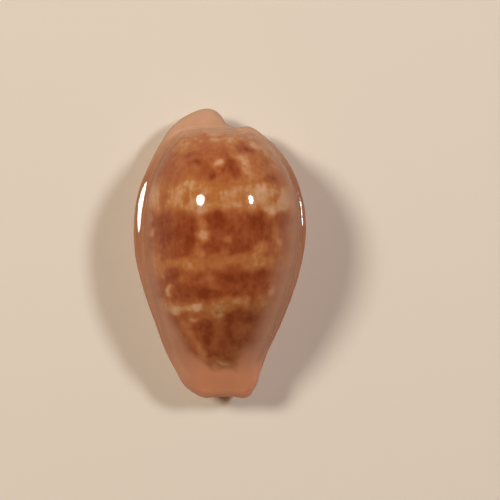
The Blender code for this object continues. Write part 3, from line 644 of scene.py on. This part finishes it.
def shell_material():
    material = bpy.data.materials.new("polished_cowrie")
    material.use_nodes = True
    tree = material.node_tree
    tree.nodes.clear()
    n = Nodes(tree)
    where = n.new("ShaderNodeTexCoord").outputs["Object"]
    mm = n.new("ShaderNodeVectorMath", {0: where, 1: (1000, 1000, 1000)}, operation="MULTIPLY").outputs[0]

    # the mottled pigment of the back
    blotch = n.noise(mm, 0.95, 2.0, 0.5, 0.4)
    fine = n.noise(mm, 2.0, 2.0, 0.55, 0.2)
    grain = n.noise(mm, 5.5, 2.0, 0.5)
    drift = n.noise(mm, 0.55, 2.0, 0.5)
    depth = n.attribute("brown")
    lengthwise = n.new("ShaderNodeVectorMath", {0: mm, 1: (1.0, 0.26, 1.0)}, operation="MULTIPLY").outputs[0]
    streak = n.noise(lengthwise, 1.15, 3.0, 0.55, 0.3)
    depth = n.math("MULTIPLY_ADD", n.math("SUBTRACT", blotch, 0.5), 0.42, depth)
    depth = n.math("MULTIPLY_ADD", n.math("SUBTRACT", fine, 0.5), 0.25, depth)
    depth = n.math("MULTIPLY_ADD", n.math("SUBTRACT", streak, 0.5), 0.42, depth)
    depth = n.math("MULTIPLY_ADD", n.math("SUBTRACT", grain, 0.5), 0.06, depth, clamp=True)
    pigment = n.ramp(
        depth,
        [
            (0.0, tone(*PALE)),
            (0.22, tone(*LIGHT)),
            (0.42, tone(*MIDDLE)),
            (0.63, tone(*RUST)),
            (0.83, tone(*DARK)),
            (1.0, tone(*DARKEST)),
        ],
    )
    yellower = n.mix(1.0, pigment, (0.96, 0.95, 0.80, 1.0), "MULTIPLY")
    tan = n.math("MULTIPLY", n.attribute("ochre"), n.ramp(depth, [(0.10, (0, 0, 0, 1)), (0.40, (1, 1, 1, 1)), (0.70, (0.6, 0.6, 0.6, 1))]))
    pigment = n.mix(tan, pigment, yellower)
    # painted shade: the pigment is multiplied darker over the anterior part of the back
    pigment = n.mix(n.attribute("painted_shade_anterior"), pigment, n.mix(1.0, pigment, (0.76, 0.77, 0.78, 1.0), "MULTIPLY"))

    # callus: the clear mauve-pink enamel of the margins, the ends and the base
    cloud = n.noise(mm, 0.8, 3.0, 0.5)
    margin = n.mix(cloud, tone(*MARGIN_A), tone(*MARGIN_B))
    end = n.mix(n.noise(mm, 1.1, 2.0, 0.5), tone(*TIP_A), tone(*TIP_B))
    # painted shade: the end's colour is multiplied darker and cooler on its -X flank
    end = n.mix(n.attribute("painted_shade_tip_side"), end, n.mix(1.0, end, (0.83, 0.90, 1.0, 1.0), "MULTIPLY"))
    margin = n.mix(n.attribute("tip"), margin, end)
    margin = n.mix(n.attribute("lobe"), margin, n.mix(cloud, tone(*LOBE_A), tone(*LOBE_B)))
    base = n.mix(cloud, tone(*BASE_A), tone(*BASE_B))
    teeth = n.mix(n.math("MULTIPLY_ADD", n.attribute("crest"), 0.5, 0.5, clamp=True), tone(*GROOVE), tone(*TOOTH))
    base = n.mix(n.math("MULTIPLY", n.attribute("near_slot"), 0.8), base, teeth)
    margin = n.mix(n.attribute("under"), margin, base)

    colour = n.mix(n.attribute("back"), margin, pigment)
    colour = n.mix(n.attribute("inner"), colour, n.mix(cloud, tone(*INSIDE_A), tone(*INSIDE_B)))
    vary = n.math("MULTIPLY_ADD", drift, 0.12, 0.94)
    shade = n.new("ShaderNodeCombineColor", {0: vary, 1: vary, 2: vary}).outputs[0]
    colour = n.mix(1.0, colour, shade, "MULTIPLY")

    swell = n.noise(mm, 0.42, 2.0, 0.4)
    pits = n.noise(mm, 3.2, 2.0, 0.5)
    height = n.math("MULTIPLY_ADD", pits, 0.05, swell)
    bump = n.new("ShaderNodeBump", {"Strength": 0.10, "Distance": 0.0002, "Height": height}).outputs["Normal"]
    wear = n.math("MULTIPLY_ADD", n.noise(mm, 0.9, 4.0, 0.6), 0.05, 0.045)
    wear = n.math("MULTIPLY_ADD", n.attribute("inner"), 0.15, wear)
    wear = n.math("MULTIPLY_ADD", n.attribute("seam"), 0.35, wear)
    surface = n.new("ShaderNodeBsdfPrincipled", {"Base Color": colour, "Roughness": wear, "IOR": 1.53, "Normal": bump})
    surface.inputs["Subsurface Weight"].default_value = 0.0
    out = n.new("ShaderNodeOutputMaterial", {"Surface": surface.outputs[0]})
    return material


shell.data.materials.append(shell_material())

# ---------------------------------------------------------------- floor, light, camera
floor = bpy.data.objects.new("floor", bpy.data.meshes.new("floor"))
ring = [(1.6 * math.cos(t), 1.6 * math.sin(t), 0.0) for t in np.linspace(0, 2 * math.pi, 96, endpoint=False)]
floor.data.from_pydata(ring, [], [list(range(96))])
floor.location.z = CAD_BOX[0][2] - 0.00002
bpy.context.scene.collection.objects.link(floor)
paper = bpy.data.materials.new("pale_card")
paper.use_nodes = True
n = Nodes(paper.node_tree)
sheet = paper.node_tree.nodes["Principled BSDF"]
where = n.new("ShaderNodeTexCoord").outputs["Object"]
cloud = n.noise(where, 30.0, 2.0, 0.5)
card = n.mix(cloud, FLOOR_A, FLOOR_B)
mirrored = n.new("ShaderNodeLightPath").outputs["Is Glossy Ray"]
card = n.mix(n.math("MULTIPLY", mirrored, FLOOR_DIM), card, (0.20, 0.12, 0.07, 1.0))
paper.node_tree.links.new(card, sheet.inputs["Base Color"])
sheet.inputs["Roughness"].default_value = 0.9
sheet.inputs["Specular IOR Level"].default_value = 0.1
floor.data.materials.append(paper)


def lamp(name, azimuth, zenith, distance, width, height, power, colour, glint):
    """A soft oval light, turned to face the shell; azimuth from +X, zenith from +Z, in degrees.

    A glint shows only in the gloss; the others only light the surfaces."""
    light = bpy.data.lights.new(name, "AREA")
    light.shape, light.size, light.size_y = "ELLIPSE", width, height
    light.energy, light.color = power, colour
    obj = bpy.data.objects.new(name, light)
    a, t = math.radians(azimuth), math.radians(zenith)
    way = Vector((math.sin(t) * math.cos(a), math.sin(t) * math.sin(a), math.cos(t)))
    obj.location = Vector((0, 0.003, 0.008)) + distance * way
    across = Vector((0, 1, 0)).cross(way).normalized()
    obj.rotation_euler = Matrix((across, way.cross(across), way)).transposed().to_euler()
    obj.visible_glossy, obj.visible_diffuse = glint, not glint
    bpy.context.scene.collection.objects.link(obj)
    return obj


lamp("glint_left", 180 - LEFT_AZ, LEFT_ZEN, 0.5, 0.118, 0.125, LEFT_POWER, LEFT_COLOUR, True)
lamp("glint_right", RIGHT_AZ, RIGHT_ZEN, 0.5, 0.054, 0.105, RIGHT_POWER, RIGHT_COLOUR, True)
lamp("key_left", 180 - LEFT_CAST[0], LEFT_CAST[1], 0.5, 0.118, 0.125, LEFT_POWER, LEFT_COLOUR, False)
lamp("key_right", RIGHT_CAST[0], RIGHT_CAST[1], 0.5, 0.060, 0.105, RIGHT_POWER, RIGHT_COLOUR, False)

world = bpy.data.worlds.new("room")
bpy.context.scene.world = world
world.use_nodes = True
world.node_tree.nodes.clear()
n = Nodes(world.node_tree)
seen = n.new("ShaderNodeLightPath").outputs["Is Camera Ray"]
up = n.new("ShaderNodeSeparateXYZ", {0: n.new("ShaderNodeTexCoord").outputs["Generated"]}).outputs["Z"]
glow = n.ramp(up, ROOM_GLOW)
dim = n.new("ShaderNodeBackground", {"Color": glow, "Strength": ROOM}).outputs[0]
wall = n.new("ShaderNodeBackground", {"Color": tone(222, 203, 181), "Strength": 1.0}).outputs[0]
both = n.new("ShaderNodeMixShader", {0: seen, 1: dim, 2: wall}).outputs[0]
n.new("ShaderNodeOutputWorld", {"Surface": both})

camera = bpy.data.cameras.new("camera")
camera.sensor_width = 36.0
camera.lens = 36.0 * (EYE[2] - LEVEL) / FRAME_MM
camera.clip_start, camera.clip_end = 0.01, 20.0
camera.dof.use_dof = False
view = bpy.data.objects.new("camera", camera)
view.location = (EYE[0] * MM, EYE[1] * MM, EYE[2] * MM)
view.rotation_euler = (0, 0, 0)
bpy.context.scene.collection.objects.link(view)
bpy.context.scene.camera = view
bpy.context.scene.view_settings.view_transform = "Standard"
bpy.context.scene.view_settings.look = "None"
bpy.context.scene.view_settings.exposure = 0.0
bpy.context.scene.view_settings.gamma = 1.0
